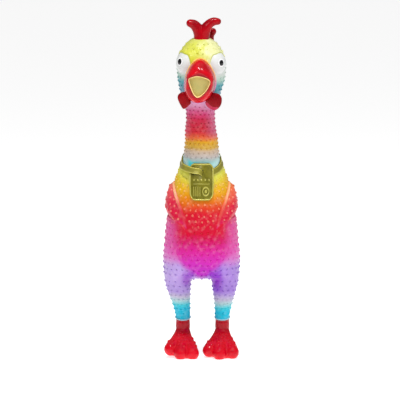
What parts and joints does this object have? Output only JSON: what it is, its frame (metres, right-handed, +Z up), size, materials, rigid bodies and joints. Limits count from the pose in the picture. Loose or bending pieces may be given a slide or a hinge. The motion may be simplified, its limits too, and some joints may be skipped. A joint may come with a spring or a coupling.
{
  "type": "rubber chicken",
  "caption": "Standing hollow rubber chicken that squeaks when squeezed, with a studded rainbow skin, an open red beak, a collar with a blank-patterned tag, and soft neck, hips and ankles.",
  "frame": {"origin": "on the floor under the middle of the toy's box, between its feet", "axes": "+Z up from the soles to the comb, -Y the way the beak points, +X the chicken's own left"},
  "size_m": [0.0915, 0.0868, 0.3999],
  "materials": {
    "torso_vinyl": "satin",
    "wing_vinyl": "satin",
    "gold_vinyl": "satin",
    "neck_vinyl": "satin",
    "yellow_vinyl": "satin",
    "red_vinyl": "gloss",
    "raw_vinyl": "matte",
    "white_vinyl": "gloss",
    "black_paint": "gloss",
    "leg_vinyl": "satin",
    "hard_plastic": "satin",
    "reed_film": "satin"
  },
  "bodies": {
    "torso": {"torso_skin": "torso_vinyl", "wing_left": "wing_vinyl", "wing_right": "wing_vinyl", "collar": "gold_vinyl", "tag": "gold_vinyl", "lower_neck_skin": "neck_vinyl", "hip_skin_left": "leg_vinyl", "hip_skin_right": "leg_vinyl", "screamer_barrel": "hard_plastic", "screamer_cap": "hard_plastic", "reed_bed": "hard_plastic", "reed_wedge": "hard_plastic"},
    "belly": {"belly_skin": "torso_vinyl"},
    "neck": {"middle_neck_skin": "neck_vinyl", "upper_neck_skin": "neck_vinyl"},
    "head": {"head_skin": "yellow_vinyl", "comb": "red_vinyl", "beak": "red_vinyl", "mouth_lining": "raw_vinyl", "wattle_left": "red_vinyl", "wattle_right": "red_vinyl", "eye_left": "white_vinyl", "eye_right": "white_vinyl", "pupil_left": "black_paint", "pupil_right": "black_paint"},
    "leg_left": {"leg_skin_left": "leg_vinyl", "ankle_skin_left": "red_vinyl"},
    "leg_right": {"leg_skin_right": "leg_vinyl", "ankle_skin_right": "red_vinyl"},
    "foot_left": {"foot_left": "red_vinyl"},
    "foot_right": {"foot_right": "red_vinyl"},
    "reed": {"reed": "reed_film"}
  },
  "joints": [
    {"name": "neck_sway", "type": "hinge", "parent": "torso", "child": "neck", "pos_m": [0, 0.004, 0.259], "axis": [0, 1, 0], "range_deg": [-25, 25], "stiffness_Nm_per_rad": 1, "deforming": ["lower_neck_skin"]},
    {"name": "head_nod", "type": "hinge", "parent": "neck", "child": "head", "pos_m": [0, 0.004, 0.287], "axis": [1, 0, 0], "range_deg": [-25, 35], "stiffness_Nm_per_rad": 0.8, "deforming": ["upper_neck_skin"]},
    {"name": "belly_press", "type": "slide", "parent": "torso", "child": "belly", "axis": [0, 1, 0], "range_m": [0, 0.02], "stiffness_N_per_m": 400},
    {"name": "hip_left", "type": "hinge", "parent": "torso", "child": "leg_left", "pos_m": [0.0269, 0.005, 0.08], "axis": [-1, 0, 0], "range_deg": [-40, 60], "stiffness_Nm_per_rad": 1.5, "deforming": ["hip_skin_left"]},
    {"name": "ankle_left", "type": "hinge", "parent": "leg_left", "child": "foot_left", "pos_m": [0.0233, 0.005, 0.041], "axis": [-1, 0, 0], "range_deg": [-30, 25], "stiffness_Nm_per_rad": 1.5, "deforming": ["ankle_skin_left"]},
    {"name": "hip_right", "type": "hinge", "parent": "torso", "child": "leg_right", "pos_m": [-0.0269, 0.005, 0.08], "axis": [-1, 0, 0], "range_deg": [-40, 60], "stiffness_Nm_per_rad": 1.5, "deforming": ["hip_skin_right"]},
    {"name": "ankle_right", "type": "hinge", "parent": "leg_right", "child": "foot_right", "pos_m": [-0.0233, 0.005, 0.041], "axis": [-1, 0, 0], "range_deg": [-30, 25], "stiffness_Nm_per_rad": 1.5, "deforming": ["ankle_skin_right"]},
    {"name": "reed_flex", "type": "hinge", "parent": "torso", "child": "reed", "pos_m": [0, 0.00225, 0.228], "axis": [1, 0, 0], "range_deg": [0, 5], "stiffness_Nm_per_rad": 0.002}
  ]
}
